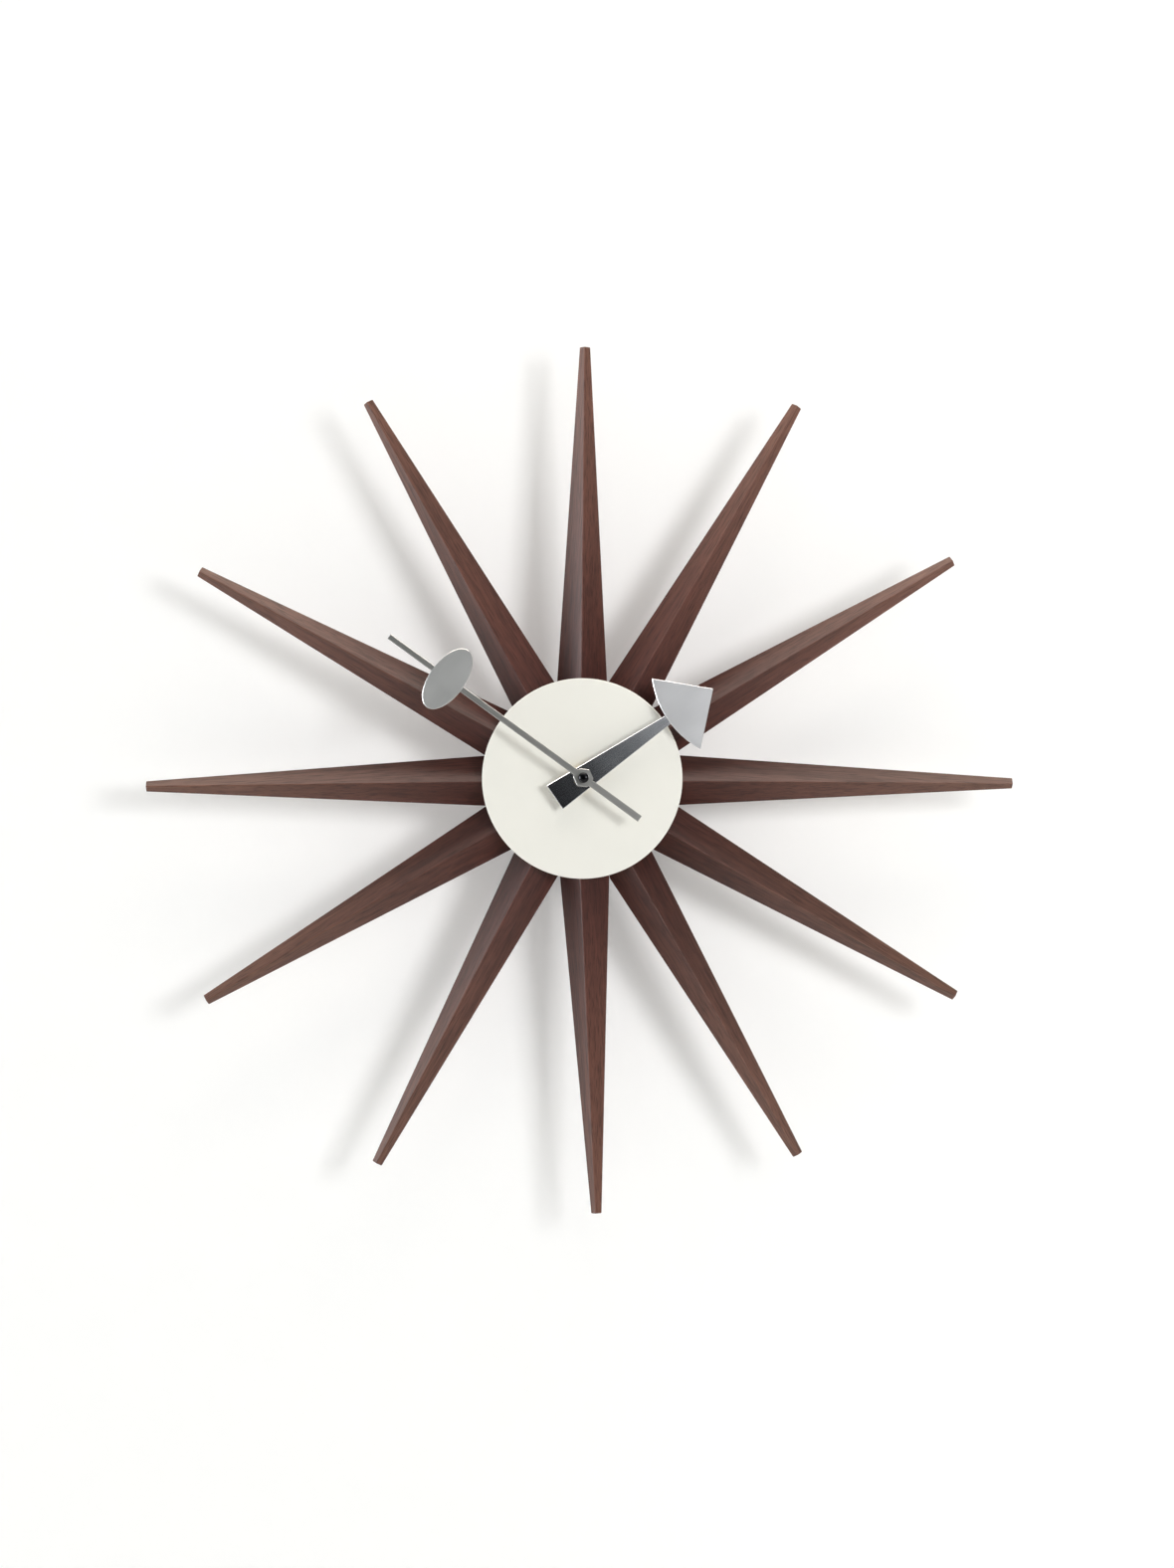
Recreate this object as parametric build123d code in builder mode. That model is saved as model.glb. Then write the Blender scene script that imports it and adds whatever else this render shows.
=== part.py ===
from build123d import *
import os
from math import cos, pi, radians, sin, sqrt

# A twelve-ray sunburst wall clock.
#
# Units are millimetres. +Z is up, the dial faces -Y and the wall is the plane y = 0. The origin is
# where the hands' axis meets the wall. A depth is a distance out from the wall, so depth 57 is y = -57.

# --- driving dimensions ------------------------------------------------------------------------------

# Rays: square walnut bars set with one edge forward, so the width seen is the square's diagonal.
RAY_TIP_R = 235.0
RAY_DEPTH = 42.0
RAY_HEEL_WIDTH = 28.4
RAY_TIP_WIDTH = 6.0
RAY_EDGE_ROUND = 0.5
RAY_GAP = 0.3
# The rays are fixed by hand: each leans (+ anticlockwise) and rolls (+ ridge clockwise) a little.
RAY_LEAN = {1: 0, 2: 0.5, 3: -0.5, 4: 0, 5: 0, 6: 2, 7: 2, 8: 0.5, 9: 1, 10: 1.5, 11: -0.5, 12: -0.5}
RAY_ROLL = {1: -1, 2: 2, 3: 4, 4: 8, 5: 2, 6: 12, 7: 9, 8: -4, 9: -4, 10: -2, 11: -14, 12: -4}

# Hub drum: a spun steel can, open towards the wall.
DRUM_R = 45.5
DRUM_WALL = 1.2
DRUM_FRONT = 57.5
DRUM_FRONT_WALL = 1.5
DRUM_FLANGE_IN_R = 38.5
DRUM_CORNER = 2.0

# Wood screws, driven from inside the drum into the rays' heels.
SCREW_R = 1.9
SCREW_HEAD_R = 4.0
SCREW_HEAD = 2.4
SCREW_IN_RAY = 26.0

# Hanger plate, with a keyhole for the head of a wall screw.
HANGER = 1.5
HANGER_CHORD_Z = 20.0
KEYHOLE_R = 4.5
KEYHOLE_Z = 26.0
KEYSLOT_R = 2.25
KEYSLOT_Z = 33.5
RIVET_R = 2.0
RIVET_HEAD_R = 3.5
RIVET_BEARINGS = (40, 90, 140)
RIVET_RING_R = 41.0

# Dial disc.
DIAL_R = 53.9
DIAL = 1.5

# Movement: the usual 56 mm square quartz case, 16 mm deep.
CASE = 56.0
CASE_CORNER = 4.0
CASE_WALL = 1.2
CASE_FRONT = 55.0
CASE_FRONT_WALL = 1.5
CASE_SEAM = 41.0
CASE_REAR = 39.0
BUSH_R = 4.0
BUSH_END = 62.5
BUSH_HOLE_R = 4.15
BAY_TOP = -11.8
PARTITION_TOP = -10.6
GASKET = 1.0

# Nut and washer that clamp the movement, the drum and the dial together.
WASHER = 0.5
WASHER_R = 6.3
NUT = 2.4
NUT_FLATS = 11.0

# Hands, seen at nine minutes to two. Their angles are anticlockwise from three o'clock.
MINUTE_ANGLE = 144.0
HOUR_ANGLE = 34.5
HAND = 0.8
HOUR_HAND_DEPTH = 66.5
HOUR_ARM_TAIL = 18.2
HOUR_ARM_TAIL_WIDTH = 15.2
HOUR_ARM_NECK = 54.5
HOUR_ARM_NECK_WIDTH = 5.3
HOUR_ARM_END = 67.0
HOUR_PLATE_APEX = 84.7
HOUR_PLATE_CORNER = 60.7
HOUR_PLATE_HALF = 22.9
HOUR_PLATE_BASE = 55.2
MINUTE_HAND_DEPTH = 73.3
MINUTE_TIP = 127.9
MINUTE_TIP_WIDTH = 2.9
MINUTE_TAIL = 37.2
MINUTE_TAIL_WIDTH = 3.7
MINUTE_BOSS_FLATS = 9.5
OVAL_CENTRE = 89.5
OVAL_HALF_LENGTH = 9.5
OVAL_HALF_WIDTH = 18.7
HAND_BEVEL = 0.2

# Coaxial shafts. RUNNING is the radial clearance of every turning fit.
RUNNING = 0.03
MINUTE_ARBOR_R = 1.75
MINUTE_THREAD_R = 1.3
MINUTE_ARBOR_END = 77.0
HOUR_TUBE_R = 2.55
HOUR_TUBE_END = 67.7
COLLET_R = 3.6
COLLET = 2.0
CAP_NUT_R = 2.85
CAP_NUT_END = 78.5

# Going train, from the stepping motor to the centre wheel. (teeth, module) of each gear.
ROTOR_PINION = (8, 0.2)
FIFTH_WHEEL = (48, 0.2)
FIFTH_PINION = (10, 0.2)
FOURTH_WHEEL = (50, 0.2)
FOURTH_PINION = (8, 0.2)
THIRD_WHEEL = (60, 0.2)
THIRD_PINION = (8, 0.25)
CENTRE_WHEEL = (64, 0.25)
# Motion work, from the minute arbor to the hour wheel.
CANNON_PINION = (12, 0.4)
MINUTE_WHEEL = (36, 0.4)
MINUTE_PINION = (12, 0.32)
HOUR_WHEEL = (48, 0.32)
SETTING_PINION = (12, 0.4)
# Bearings of one arbor from the arbor before it.
THIRD_BEARING = 150
FOURTH_BEARING = 80
FIFTH_BEARING = 30
ROTOR_BEARING = 10
MINUTE_WHEEL_BEARING = 20
SETTING_BEARING = 20

PIVOT_R = 0.5
ROTOR_PIVOT_R = 0.3
PIVOT_REAR = 40.4
PIVOT_FRONT = 49.6
BLIND_HOLE = 0.8

# Train plate, between the motion work and the going train.
PLATE_REAR = 49.0
PLATE_FRONT = 49.8

# Stepping motor and circuit board.
ROTOR_R = 3.0
STATOR_HOLE_R = 3.4
STATOR_REAR = 45.7
STATOR = 1.0
COIL_X = 6.3
COIL_Z = 23.4
COIL_LENGTH = 25.0
COIL_CORE_WIDTH = 2.6
BOARD_REAR = 42.0
BOARD = 1.0

# AA cell.
CELL_R = 7.1
CELL_LENGTH = 50.3
CELL_NUB_R = 2.75
CELL_NUB = 1.2
CONTACT = 0.4

os.makedirs("parts", exist_ok=True)


# --- helpers -----------------------------------------------------------------------------------------

def at_depth(depth):
    """The upright plane at this depth, seen from the front: x to the right, y up, normal to the viewer."""
    return Plane(origin=(0, -depth, 0), x_dir=(1, 0, 0), z_dir=(0, -1, 0))


def hand_plane(depth, angle):
    """An upright plane whose x runs along a hand at this angle."""
    along = (cos(radians(angle)), 0, sin(radians(angle)))
    return Plane(origin=(0, -depth, 0), x_dir=along, z_dir=(0, -1, 0))


def polar(radius, angle):
    """The point of an upright plane at this radius and angle."""
    return (radius * cos(radians(angle)), radius * sin(radians(angle)))


def shifted(point, radius, angle):
    """The point this far from another, on this bearing."""
    dx, dy = polar(radius, angle)
    return (point[0] + dx, point[1] + dy)


def save(piece, name):
    """Label a finished piece and write its STEP file."""
    piece.part.label = name
    export_step(piece.part, f"parts/{name}.step")


def rims_of(piece, radius):
    """The round edges of a piece that have this radius."""
    rims = piece.edges().filter_by(GeomType.CIRCLE)
    return rims.filter_by(lambda rim: abs(rim.radius - radius) < 0.01)


def disc(radius):
    """A round outline."""
    with BuildSketch() as outline:
        Circle(radius)
    return outline.sketch


def gear(size):
    """The outline of a clock gear: radial flanks below the pitch circle and an ogive tip above it.

    Wheels have full teeth with tall ogives. Pinions have slim leaves with short round tips.
    """
    teeth, module = size
    pitch_r = teeth * module / 2
    if teeth < 20:
        thickness, addendum, dedendum, flank_r = 1.05, 0.65, 1.6, 0.7
    else:
        thickness, addendum, dedendum, flank_r = 1.5, 1.25, 1.5, 1.9
    half = thickness / teeth * 180 / pi
    step = 360 / teeth
    root_r = pitch_r - dedendum * module
    with BuildSketch() as outline:
        with BuildLine():
            for tooth in range(teeth):
                middle = tooth * step
                tip = polar(pitch_r + addendum * module, middle)
                rise = polar(pitch_r, middle - half)
                fall = polar(pitch_r, middle + half)
                foot = polar(root_r, middle + half)
                Line(polar(root_r, middle - half), rise)
                RadiusArc(rise, tip, -flank_r * module)
                RadiusArc(tip, fall, -flank_r * module)
                Line(fall, foot)
                Line(foot, polar(root_r, middle + step - half))
        make_face()
    return outline.sketch


def meshed(size_a, turn_a, size_b, bearing):
    """The turn of gear b, on this bearing from gear a, that puts its teeth in gear a's gaps."""
    passed = (bearing - turn_a) * size_a[0] / 360
    return bearing + 180 - (0.5 - passed) * 360 / size_b[0]


def distance(size_a, size_b):
    """The centre distance of two meshing gears."""
    return (size_a[0] + size_b[0]) * size_a[1] / 2


def arbor(centre, layers):
    """A moulded arbor, built up of layers: (from depth, to depth, outline, turn)."""
    with BuildPart() as piece:
        for start, end, outline, turn in layers:
            with BuildSketch(at_depth(start)):
                with Locations(centre):
                    add(outline, rotation=turn)
            extrude(amount=end - start)
    return piece


# --- places worked out from the dimensions above -----------------------------------------------------

THIRD_AT = polar(distance(CENTRE_WHEEL, THIRD_PINION), THIRD_BEARING)
FOURTH_AT = shifted(THIRD_AT, distance(THIRD_WHEEL, FOURTH_PINION), FOURTH_BEARING)
FIFTH_AT = shifted(FOURTH_AT, distance(FOURTH_WHEEL, FIFTH_PINION), FIFTH_BEARING)
ROTOR_AT = shifted(FIFTH_AT, distance(FIFTH_WHEEL, ROTOR_PINION), ROTOR_BEARING)
MINUTE_WHEEL_AT = polar(distance(CANNON_PINION, MINUTE_WHEEL), MINUTE_WHEEL_BEARING)
SETTING_AT = shifted(MINUTE_WHEEL_AT, distance(MINUTE_WHEEL, SETTING_PINION), SETTING_BEARING)

CHAMBER_FRONT = CASE_FRONT - CASE_FRONT_WALL
CASE_IN = CASE / 2 - CASE_WALL
DIAL_REAR = DRUM_FRONT
DIAL_FRONT = DRUM_FRONT + DIAL

PLATE_POSTS = [(-16.5, -8), (19.5, -8), (19.5, 13.3), (-16.5, 13.3)]
BOARD_POSTS = [(-23.5, 3), (-23.5, 20)]
STATOR_ENDS = [(COIL_X - COIL_LENGTH / 2 - 1.7, COIL_Z), (COIL_X + COIL_LENGTH / 2 + 1.7, COIL_Z)]
COVER_POSTS = [(-24.5, -8), (24.5, -8), (-24.5, 24.8), (24.5, 24.8)]
POST_R = 1.6
SMALL_SCREW_R = 0.6

ray_angle = {hour: 90 - 30 * hour + RAY_LEAN[hour] for hour in range(1, 13)}


# --- rays --------------------------------------------------------------------------------------------

def ray_frame(hour):
    """A plane across the ray: z runs outwards along it, x points to the viewer and y clockwise."""
    turn = radians(ray_angle[hour])
    return Plane(origin=(0, -RAY_DEPTH, 0), x_dir=(0, -1, 0), z_dir=(cos(turn), 0, sin(turn)))


def mitre(angle, clockwise):
    """The upright plane through the hands' axis at this angle, facing clockwise or anticlockwise."""
    side = 1 if clockwise else -1
    normal = (side * sin(radians(angle)), 0, -side * cos(radians(angle)))
    return Plane(origin=(0, 0, 0), x_dir=(0, 1, 0), z_dir=normal).offset(RAY_GAP / 2)


def make_ray(hour):
    """A tapering square bar, coped to the drum, mitred to its neighbours and drilled for its screw."""
    blank_start = DRUM_R - 6
    slope = (RAY_HEEL_WIDTH - RAY_TIP_WIDTH) / (RAY_TIP_R - DRUM_R)
    start_side = (RAY_HEEL_WIDTH + slope * (DRUM_R - blank_start)) / sqrt(2)
    taper = Vector(1, slope / sqrt(2) / 2).get_angle(Vector(1, 0))
    after = hour % 12 + 1
    before = (hour - 2) % 12 + 1
    angle_after = ray_angle[after] if after > hour else ray_angle[after] - 360
    angle_before = ray_angle[before] if before < hour else ray_angle[before] + 360
    with BuildPart() as ray:
        with BuildSketch(ray_frame(hour).offset(blank_start)):
            Rectangle(start_side, start_side, rotation=45 + RAY_ROLL[hour])
        extrude(amount=RAY_TIP_R - blank_start, taper=taper)
        long_edges = ray.edges().filter_by(lambda edge: edge.length > 100)
        fillet(long_edges, RAY_EDGE_ROUND)
        tip = ray.faces().sort_by_distance((0, 0, 0))[-1]
        chamfer(tip.edges(), RAY_EDGE_ROUND / 2)
        with BuildSketch(at_depth(0)):
            Circle(DRUM_R)
        extrude(amount=2 * RAY_DEPTH, mode=Mode.SUBTRACT)
        split(bisect_by=mitre((ray_angle[hour] + angle_before) / 2, clockwise=True), keep=Keep.TOP)
        split(bisect_by=mitre((ray_angle[hour] + angle_after) / 2, clockwise=False), keep=Keep.TOP)
        with BuildSketch(ray_frame(hour).offset(blank_start)):
            Circle(SCREW_R)
        extrude(amount=DRUM_R - blank_start + SCREW_IN_RAY, mode=Mode.SUBTRACT)
    return ray


for hour in ray_angle:
    save(make_ray(hour), f"ray_{hour:02d}")

# --- ray screws --------------------------------------------------------------------------------------

# A flat head seats on the drum's curved wall along two lines, just inside its radius.
head_seat = sqrt((DRUM_R - DRUM_WALL) ** 2 - SCREW_HEAD_R**2)
with BuildPart() as ray_screws:
    for hour in ray_angle:
        frame = ray_frame(hour)
        with BuildSketch(frame.offset(head_seat)):
            Circle(SCREW_HEAD_R)
        extrude(amount=-SCREW_HEAD, taper=10)
        with BuildSketch(frame.offset(head_seat)):
            Circle(SCREW_R)
        extrude(amount=DRUM_R + SCREW_IN_RAY - 3 - head_seat)
        with BuildSketch(frame.offset(DRUM_R + SCREW_IN_RAY - 3)):
            Circle(SCREW_R)
        extrude(amount=2.9, taper=30)
        with BuildSketch(frame.offset(head_seat - SCREW_HEAD)):
            Rectangle(4.4, 0.8)
            Rectangle(0.8, 4.4)
        extrude(amount=1.4, mode=Mode.SUBTRACT)
save(ray_screws, "ray_screws")

# --- hub drum ----------------------------------------------------------------------------------------

with BuildPart() as hub_drum:
    with BuildSketch(Plane.XY):
        with BuildLine():
            Polyline(
                (BUSH_HOLE_R, -DRUM_FRONT),
                (DRUM_R, -DRUM_FRONT),
                (DRUM_R, 0),
                (DRUM_FLANGE_IN_R, 0),
                (DRUM_FLANGE_IN_R, -DRUM_WALL),
                (DRUM_R - DRUM_WALL, -DRUM_WALL),
                (DRUM_R - DRUM_WALL, DRUM_FRONT_WALL - DRUM_FRONT),
                (BUSH_HOLE_R, DRUM_FRONT_WALL - DRUM_FRONT),
                close=True,
            )
        make_face()
    revolve(axis=Axis.Y)
    fillet(rims_of(hub_drum, DRUM_R), DRUM_CORNER)
    fillet(rims_of(hub_drum, DRUM_R - DRUM_WALL), DRUM_CORNER - DRUM_WALL)
    for hour in ray_angle:
        with BuildSketch(ray_frame(hour).offset(DRUM_R - 3)):
            Circle(SCREW_R + 0.2)
        extrude(amount=4, mode=Mode.SUBTRACT)
    with BuildSketch(at_depth(0)):
        for bearing in RIVET_BEARINGS:
            with Locations(polar(RIVET_RING_R, bearing)):
                Circle(RIVET_R)
    extrude(amount=DRUM_WALL, mode=Mode.SUBTRACT)
save(hub_drum, "hub_drum")

# --- hanger plate and rivets -------------------------------------------------------------------------

with BuildPart() as hanger_plate:
    with BuildSketch(at_depth(DRUM_WALL)):
        Circle(DRUM_R - DRUM_WALL - 0.9)
        with Locations((0, HANGER_CHORD_Z - DRUM_R)):
            Rectangle(2 * DRUM_R, 2 * DRUM_R, mode=Mode.SUBTRACT)
        with Locations((0, KEYHOLE_Z)):
            Circle(KEYHOLE_R, mode=Mode.SUBTRACT)
        with Locations((0, (KEYHOLE_Z + KEYSLOT_Z) / 2)):
            Rectangle(2 * KEYSLOT_R, KEYSLOT_Z - KEYHOLE_Z, mode=Mode.SUBTRACT)
        with Locations((0, KEYSLOT_Z)):
            Circle(KEYSLOT_R, mode=Mode.SUBTRACT)
        for bearing in RIVET_BEARINGS:
            with Locations(polar(RIVET_RING_R, bearing)):
                Circle(RIVET_R, mode=Mode.SUBTRACT)
    extrude(amount=HANGER)
save(hanger_plate, "hanger_plate")

with BuildPart() as hanger_rivets:
    for bearing in RIVET_BEARINGS:
        with BuildSketch(at_depth(0)):
            with Locations(polar(RIVET_RING_R, bearing)):
                Circle(RIVET_R)
        extrude(amount=DRUM_WALL + HANGER)
        with BuildSketch(at_depth(DRUM_WALL + HANGER)):
            with Locations(polar(RIVET_RING_R, bearing)):
                Circle(RIVET_HEAD_R - 0.7)
        extrude(amount=1.4, taper=25)
save(hanger_rivets, "hanger_rivets")

# --- dial --------------------------------------------------------------------------------------------

with BuildPart() as dial_disc:
    with BuildSketch(at_depth(DIAL_REAR)):
        Circle(DIAL_R)
        Circle(BUSH_HOLE_R, mode=Mode.SUBTRACT)
    extrude(amount=DIAL)
    fillet(rims_of(dial_disc, DIAL_R), 0.5)
save(dial_disc, "dial_disc")

# --- movement case -----------------------------------------------------------------------------------

with BuildPart() as movement_case:
    with BuildSketch(at_depth(CASE_SEAM)):
        RectangleRounded(CASE, CASE, CASE_CORNER)
    extrude(amount=CASE_FRONT - CASE_SEAM)
    with BuildSketch(at_depth(CASE_REAR)):
        RectangleRounded(CASE, CASE, CASE_CORNER)
        with Locations((0, PARTITION_TOP + CASE / 2)):
            Rectangle(CASE, CASE, mode=Mode.SUBTRACT)
    extrude(amount=CASE_SEAM - CASE_REAR)
    with BuildSketch(at_depth(CASE_SEAM)):
        with Locations((0, (CASE_IN + PARTITION_TOP) / 2)):
            Rectangle(2 * CASE_IN, CASE_IN - PARTITION_TOP)
    extrude(amount=CHAMBER_FRONT - CASE_SEAM, mode=Mode.SUBTRACT)
    with BuildSketch(at_depth(CASE_REAR)):
        with Locations((0, (BAY_TOP - CASE_IN) / 2)):
            Rectangle(2 * CASE_IN, BAY_TOP + CASE_IN)
    extrude(amount=CHAMBER_FRONT - CASE_REAR, mode=Mode.SUBTRACT)
    # Posts for the train plate, the board, the coil core and the cover.
    for places, rear, post_r in (
        (PLATE_POSTS, PLATE_FRONT, POST_R),
        (BOARD_POSTS, BOARD_REAR + BOARD, POST_R),
        (STATOR_ENDS, STATOR_REAR + 2 * STATOR, POST_R),
        (COVER_POSTS, CASE_SEAM, 2.2),
    ):
        with BuildSketch(at_depth(rear)):
            with Locations(places):
                Circle(post_r)
        extrude(amount=CHAMBER_FRONT - rear)
        with BuildSketch(at_depth(rear)):
            with Locations(places):
                Circle(SMALL_SCREW_R)
        extrude(amount=3, mode=Mode.SUBTRACT)
    # Threaded bush around the hour tube.
    with BuildSketch(at_depth(CASE_FRONT)):
        Circle(BUSH_R)
    extrude(amount=BUSH_END - CASE_FRONT)
    with BuildSketch(at_depth(CHAMBER_FRONT)):
        Circle(HOUR_TUBE_R + RUNNING)
    extrude(amount=BUSH_END - CHAMBER_FRONT, mode=Mode.SUBTRACT)
    # Blind bearings of the minute wheel and the setting shaft.
    with BuildSketch(at_depth(CHAMBER_FRONT)):
        with Locations(MINUTE_WHEEL_AT, SETTING_AT):
            Circle(PIVOT_R + RUNNING)
    extrude(amount=BLIND_HOLE, mode=Mode.SUBTRACT)
    # Notches where the two battery contacts pass from the bay to the board.
    with BuildSketch(at_depth(CASE_SEAM)):
        with Locations((CASE_IN - CONTACT / 2, BAY_TOP + 0.6), (-CASE_IN + CONTACT / 2, BAY_TOP + 0.6)):
            Rectangle(CONTACT, 1.6)
    extrude(amount=3, mode=Mode.SUBTRACT)
save(movement_case, "movement_case")

# --- movement cover and its screws -------------------------------------------------------------------

with BuildPart() as movement_cover:
    with BuildSketch(at_depth(CASE_REAR)):
        RectangleRounded(CASE, CASE, CASE_CORNER)
        with Locations((0, PARTITION_TOP - CASE / 2)):
            Rectangle(CASE, CASE, mode=Mode.SUBTRACT)
        with Locations(SETTING_AT):
            Circle(1.5 + RUNNING, mode=Mode.SUBTRACT)
        with Locations(COVER_POSTS):
            Circle(SMALL_SCREW_R, mode=Mode.SUBTRACT)
    extrude(amount=CASE_SEAM - CASE_REAR)
    with BuildSketch(at_depth(CASE_SEAM - BLIND_HOLE)):
        with Locations(THIRD_AT, FOURTH_AT, FIFTH_AT, (0, 0)):
            Circle(PIVOT_R + RUNNING)
        with Locations(ROTOR_AT):
            Circle(ROTOR_PIVOT_R + RUNNING)
    extrude(amount=BLIND_HOLE, mode=Mode.SUBTRACT)
    # A shallow round recess, with a raised ring, around the setting shaft.
    with BuildSketch(at_depth(CASE_REAR)):
        with Locations(SETTING_AT):
            Circle(7)
            Circle(6, mode=Mode.SUBTRACT)
    extrude(amount=-0.6)
save(movement_cover, "movement_cover")


def screws(places, seat, length, head_r, head):
    """Small screws driven from the rear: each head lies behind its seat and its shank runs forward."""
    with BuildPart() as group:
        with BuildSketch(at_depth(seat - head)):
            with Locations(places):
                Circle(head_r)
        extrude(amount=head)
        with BuildSketch(at_depth(seat)):
            with Locations(places):
                Circle(SMALL_SCREW_R)
        extrude(amount=length)
        with BuildSketch(at_depth(seat - head)):
            with Locations(places):
                Rectangle(1.6 * head_r, 0.35)
                Rectangle(0.35, 1.6 * head_r)
        extrude(amount=head / 2, mode=Mode.SUBTRACT)
    return group


save(screws(COVER_POSTS, CASE_REAR, 4.5, 1.5, 1.0), "cover_screws")
save(screws(PLATE_POSTS, PLATE_REAR, 3, 1.2, 0.8), "plate_screws")
save(screws(BOARD_POSTS, BOARD_REAR, 3, 1.2, 0.7), "board_screws")
save(screws(STATOR_ENDS, STATOR_REAR, 4, 1.3, 0.8), "stator_screws")

# --- gasket, washer and nut --------------------------------------------------------------------------

with BuildPart() as drum_gasket:
    with BuildSketch(at_depth(CASE_FRONT)):
        Circle(13)
        Circle(BUSH_R + 0.05, mode=Mode.SUBTRACT)
    extrude(amount=GASKET)
save(drum_gasket, "drum_gasket")

with BuildPart() as bush_washer:
    with BuildSketch(at_depth(DIAL_FRONT)):
        Circle(WASHER_R)
        Circle(BUSH_R + 0.1, mode=Mode.SUBTRACT)
    extrude(amount=WASHER)
save(bush_washer, "bush_washer")

with BuildPart() as bush_nut:
    with BuildSketch(at_depth(DIAL_FRONT + WASHER)):
        RegularPolygon(NUT_FLATS / 2, 6, major_radius=False, rotation=HOUR_ANGLE)
        Circle(BUSH_R, mode=Mode.SUBTRACT)
    extrude(amount=NUT)
save(bush_nut, "bush_nut")

# --- train plate -------------------------------------------------------------------------------------

with BuildPart() as train_plate:
    with BuildSketch(at_depth(PLATE_REAR)):
        with Locations((1.5, 2.6)):
            RectangleRounded(40, 25.4, 2)
        Circle(MINUTE_ARBOR_R + 0.4, mode=Mode.SUBTRACT)
        with Locations(THIRD_AT, FOURTH_AT, FIFTH_AT, MINUTE_WHEEL_AT):
            Circle(PIVOT_R + RUNNING, mode=Mode.SUBTRACT)
        with Locations(ROTOR_AT):
            Circle(ROTOR_PIVOT_R + RUNNING, mode=Mode.SUBTRACT)
        with Locations(SETTING_AT):
            Circle(1.5 + RUNNING, mode=Mode.SUBTRACT)
        with Locations(PLATE_POSTS):
            Circle(SMALL_SCREW_R, mode=Mode.SUBTRACT)
    extrude(amount=PLATE_FRONT - PLATE_REAR)
save(train_plate, "train_plate")

# --- going train -------------------------------------------------------------------------------------

third_pinion_turn = meshed(CENTRE_WHEEL, 0, THIRD_PINION, THIRD_BEARING)
fourth_pinion_turn = meshed(THIRD_WHEEL, 0, FOURTH_PINION, FOURTH_BEARING)
fifth_pinion_turn = meshed(FOURTH_WHEEL, 0, FIFTH_PINION, FIFTH_BEARING)
rotor_pinion_turn = meshed(FIFTH_WHEEL, 0, ROTOR_PINION, ROTOR_BEARING)

CENTRE_HUB_R = 1.45
with BuildPart() as centre_wheel:
    with BuildSketch(at_depth(47.6)):
        add(gear(CENTRE_WHEEL))
        with PolarLocations(5.1, 5):
            Circle(1.7, mode=Mode.SUBTRACT)
        Circle(CENTRE_HUB_R + RUNNING, mode=Mode.SUBTRACT)
    extrude(amount=0.8)
save(centre_wheel, "centre_wheel")

third_wheel = arbor(THIRD_AT, [
    (PIVOT_REAR, PIVOT_FRONT, disc(PIVOT_R), 0),
    (46.0, 46.8, gear(THIRD_WHEEL), 0),
    (46.8, 48.7, gear(THIRD_PINION), third_pinion_turn),
])
save(third_wheel, "third_wheel")

fourth_wheel = arbor(FOURTH_AT, [
    (PIVOT_REAR, PIVOT_FRONT, disc(PIVOT_R), 0),
    (44.5, 45.2, gear(FOURTH_WHEEL), 0),
    (45.2, 47.1, gear(FOURTH_PINION), fourth_pinion_turn),
])
save(fourth_wheel, "fourth_wheel")

fifth_wheel = arbor(FIFTH_AT, [
    (PIVOT_REAR, PIVOT_FRONT, disc(PIVOT_R), 0),
    (43.2, 43.8, gear(FIFTH_WHEEL), 0),
    (43.8, 45.5, gear(FIFTH_PINION), fifth_pinion_turn),
])
save(fifth_wheel, "fifth_wheel")

rotor_arbor = arbor(ROTOR_AT, [
    (PIVOT_REAR, PIVOT_FRONT, disc(ROTOR_PIVOT_R), 0),
    (42.9, 44.5, gear(ROTOR_PINION), rotor_pinion_turn),
    (44.5, 44.8, disc(1.6), 0),
    (44.8, 47.2, disc(1.0), 0),
])
save(rotor_arbor, "rotor_arbor")

with BuildPart() as rotor_magnet:
    with BuildSketch(at_depth(44.8)):
        with Locations(ROTOR_AT):
            Circle(ROTOR_R)
            Circle(1.0, mode=Mode.SUBTRACT)
    extrude(amount=2.4)
save(rotor_magnet, "rotor_magnet")

# --- minute arbor and its friction clutch ------------------------------------------------------------

minute_arbor = arbor((0, 0), [
    (PIVOT_REAR, 42.0, disc(PIVOT_R), 0),
    (42.0, 46.9, disc(1.2), 0),
    (46.9, 47.5, disc(2.4), 0),
    (47.5, 50.2, disc(CENTRE_HUB_R), 0),
    (50.2, 51.7, gear(CANNON_PINION), 0),
    (51.7, MINUTE_HAND_DEPTH, disc(MINUTE_ARBOR_R), 0),
    (MINUTE_HAND_DEPTH, MINUTE_ARBOR_END, disc(MINUTE_THREAD_R), 0),
])
save(minute_arbor, "minute_arbor")

with BuildPart() as clutch_spring:
    with BuildSketch(at_depth(48.45)):
        Circle(2.1)
        with PolarLocations(2.1, 3):
            Rectangle(3.4, 1.2)
        Circle(CENTRE_HUB_R, mode=Mode.SUBTRACT)
    extrude(amount=0.35)
save(clutch_spring, "clutch_spring")

# --- motion work -------------------------------------------------------------------------------------

minute_wheel_turn = meshed(CANNON_PINION, 0, MINUTE_WHEEL, MINUTE_WHEEL_BEARING)
hour_wheel_turn = meshed(MINUTE_PINION, 0, HOUR_WHEEL, MINUTE_WHEEL_BEARING + 180)
setting_pinion_turn = meshed(MINUTE_WHEEL, minute_wheel_turn, SETTING_PINION, SETTING_BEARING)

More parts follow.
